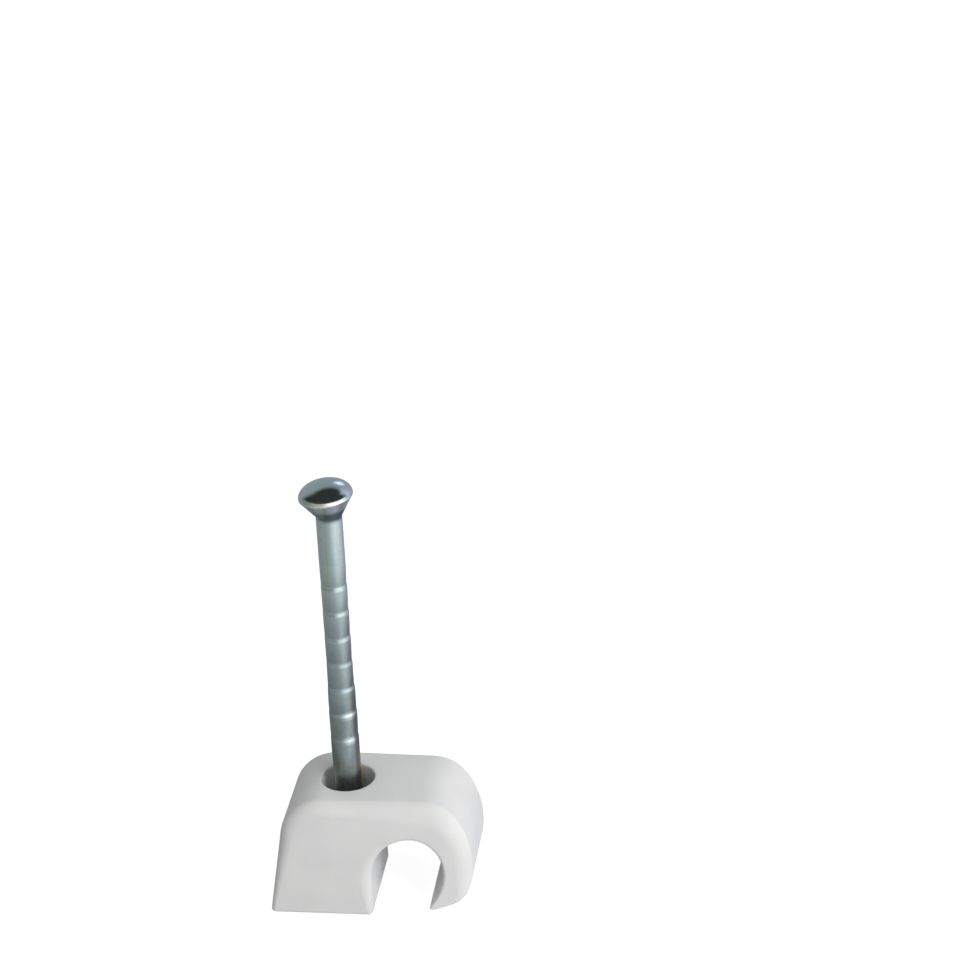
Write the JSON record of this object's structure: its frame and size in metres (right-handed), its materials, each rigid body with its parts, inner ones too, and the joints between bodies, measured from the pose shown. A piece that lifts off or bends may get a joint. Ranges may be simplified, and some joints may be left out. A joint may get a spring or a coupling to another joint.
{
  "type": "nail-in cable clip",
  "caption": "Moulded plastic hook block that holds a round cable against a wall, with a steel nail standing ready in its counterbored hole.",
  "frame": {"origin": "on the wall plane, under the middle of the part's box", "axes": "+Z away from the wall along the nail towards its head, +X from the nail's foot towards the hook, Y along the cable"},
  "size_m": [0.016, 0.0086, 0.0356],
  "materials": {
    "clip_plastic": "semi-matte moulded",
    "nail_steel": "bright zinc plated"
  },
  "bodies": {
    "root": {"clip_body": "clip_plastic", "nail": "nail_steel"}
  },
  "joints": []
}
